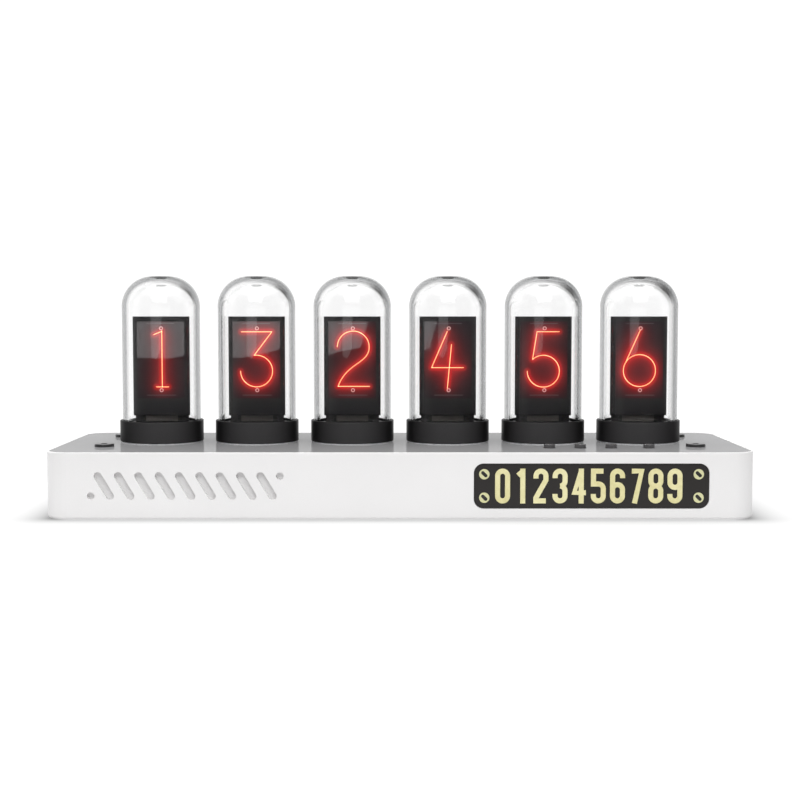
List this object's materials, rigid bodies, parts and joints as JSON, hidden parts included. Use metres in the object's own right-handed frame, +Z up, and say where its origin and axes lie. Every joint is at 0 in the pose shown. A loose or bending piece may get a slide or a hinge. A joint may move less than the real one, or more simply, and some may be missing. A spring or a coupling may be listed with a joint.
{
  "type": "tube clock",
  "caption": "Desk clock with a row of small lit displays under clear domes on a low rounded housing, with push buttons on its top panel.",
  "frame": {"origin": "on the table under the middle of the housing", "axes": "+X to the right as seen from the front, +Y to the back, +Z up"},
  "size_m": [0.209, 0.067, 0.0722],
  "materials": {
    "white_shell": "satin",
    "grey_panel": "polished",
    "foot_rubber": "matte",
    "black_steel": "satin",
    "plated_steel": "plated",
    "black_plate": "satin",
    "plate_brass": "polished",
    "green_board": "satin",
    "dark_board": "satin",
    "black_plastic": "matte",
    "contact_gold": "plated",
    "can_aluminium": "satin",
    "led_white": "gloss",
    "clear_ring": "frosted",
    "plug_dark": "matte",
    "flex_film": "satin",
    "button_black": "satin",
    "collar_black": "matte",
    "clear_dome": "clear",
    "display_glass": "gloss"
  },
  "bodies": {
    "clock": {"housing": "white_shell", "top_panel": "grey_panel", "feet": "foot_rubber", "panel_screws": "black_steel", "board_spacers": "plated_steel", "name_plate": "black_plate", "plate_screws": "plate_brass", "main_board": "green_board", "controller_board": "dark_board", "controller_shield": "plated_steel", "usb_shell": "plated_steel", "usb_tongue": "black_plastic", "coin_cell": "plated_steel", "cell_holder": "black_plastic", "cell_clip": "contact_gold", "capacitors": "can_aluminium", "voltage_regulator": "black_plastic", "clock_chip": "black_plastic", "switch_bodies": "black_plastic", "snap_discs": "contact_gold", "tube_sockets": "black_plastic", "backlight_leds": "led_white", "light_rings": "clear_ring", "dome_plugs": "plug_dark", "pin_strips": "black_plastic", "contact_pins": "contact_gold", "display_flexes": "flex_film", "carrier_parts": "black_plastic", "collar_1": "collar_black", "dome_1": "clear_dome", "display_1": "display_glass", "carrier_1": "dark_board", "collar_2": "collar_black", "dome_2": "clear_dome", "display_2": "display_glass", "carrier_2": "dark_board", "collar_3": "collar_black", "dome_3": "clear_dome", "display_3": "display_glass", "carrier_3": "dark_board", "collar_4": "collar_black", "dome_4": "clear_dome", "display_4": "display_glass", "carrier_4": "dark_board", "collar_5": "collar_black", "dome_5": "clear_dome", "display_5": "display_glass", "carrier_5": "dark_board", "collar_6": "collar_black", "dome_6": "clear_dome", "display_6": "display_glass", "carrier_6": "dark_board"},
    "left_button": {"button_left": "button_black"},
    "mode_button": {"button_mode": "button_black"},
    "right_button": {"button_right": "button_black"},
    "power_button": {"button_power": "button_black"}
  },
  "joints": [
    {"name": "left_button_press", "type": "slide", "parent": "clock", "child": "left_button", "axis": [0, 0, -1], "range_m": [0, 0.0003], "stiffness_N_per_m": 3000},
    {"name": "mode_button_press", "type": "slide", "parent": "clock", "child": "mode_button", "axis": [0, 0, -1], "range_m": [0, 0.0003], "stiffness_N_per_m": 3000},
    {"name": "right_button_press", "type": "slide", "parent": "clock", "child": "right_button", "axis": [0, 0, -1], "range_m": [0, 0.0003], "stiffness_N_per_m": 3000},
    {"name": "power_button_press", "type": "slide", "parent": "clock", "child": "power_button", "axis": [0, 0, -1], "range_m": [0, 0.0003], "stiffness_N_per_m": 3000}
  ]
}
